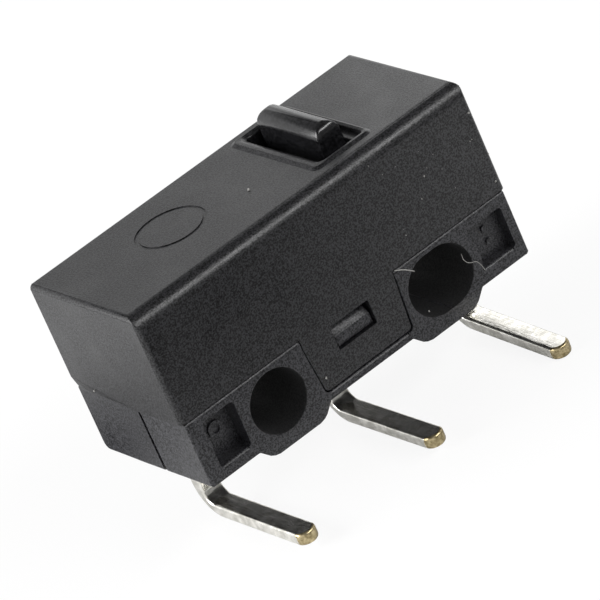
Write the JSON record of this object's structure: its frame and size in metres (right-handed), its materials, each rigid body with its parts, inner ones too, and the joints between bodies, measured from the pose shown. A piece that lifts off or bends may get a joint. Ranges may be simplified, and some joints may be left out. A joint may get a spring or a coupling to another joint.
{
  "type": "micro switch",
  "caption": "Subminiature snap-action switch with a sprung plunger in a black two-part housing, a round and a slotted mounting hole, and solder terminals bent to one side.",
  "frame": {"origin": "centre of the round mounting hole, in the middle of its length across the body", "axes": "+X along the body from the round hole to the slotted hole, +Y across the body to its rear face, away from the terminals' tips, +Z towards the plunger"},
  "size_m": [0.0129, 0.008, 0.0092],
  "materials": {
    "base_plastic": "moulded, fine matte grain",
    "cover_plastic": "moulded, fine spark-eroded grain",
    "plunger_plastic": "smooth, slightly glossy",
    "terminal_metal": "silver plated, bare brass at the cut tips",
    "blade_metal": "rolled spring metal",
    "contact_metal": "satin silver alloy"
  },
  "bodies": {
    "housing": {"base": "base_plastic", "cover": "cover_plastic", "com_terminal": "terminal_metal", "no_terminal": "terminal_metal", "nc_terminal": "terminal_metal", "no_contact": "contact_metal", "nc_contact": "contact_metal"},
    "button": {"plunger": "plunger_plastic"},
    "blade": {"moving_blade": "blade_metal", "moving_contact": "contact_metal"}
  },
  "joints": [
    {"name": "plunger_slide", "type": "slide", "parent": "housing", "child": "button", "axis": [0, 0, -1], "range_m": [0, 0.0006], "stiffness_N_per_m": 1000, "springref_m": -0.0003},
    {"name": "blade_tilt", "type": "hinge", "parent": "housing", "child": "blade", "pos_m": [-0.00199, 0, 0.0035], "axis": [0, 1, 0], "range_deg": [0, 4.5]}
  ],
  "couplings": [
    {"joint": "blade_tilt", "follows": "plunger_slide", "rad_per_m": 127.4}
  ]
}
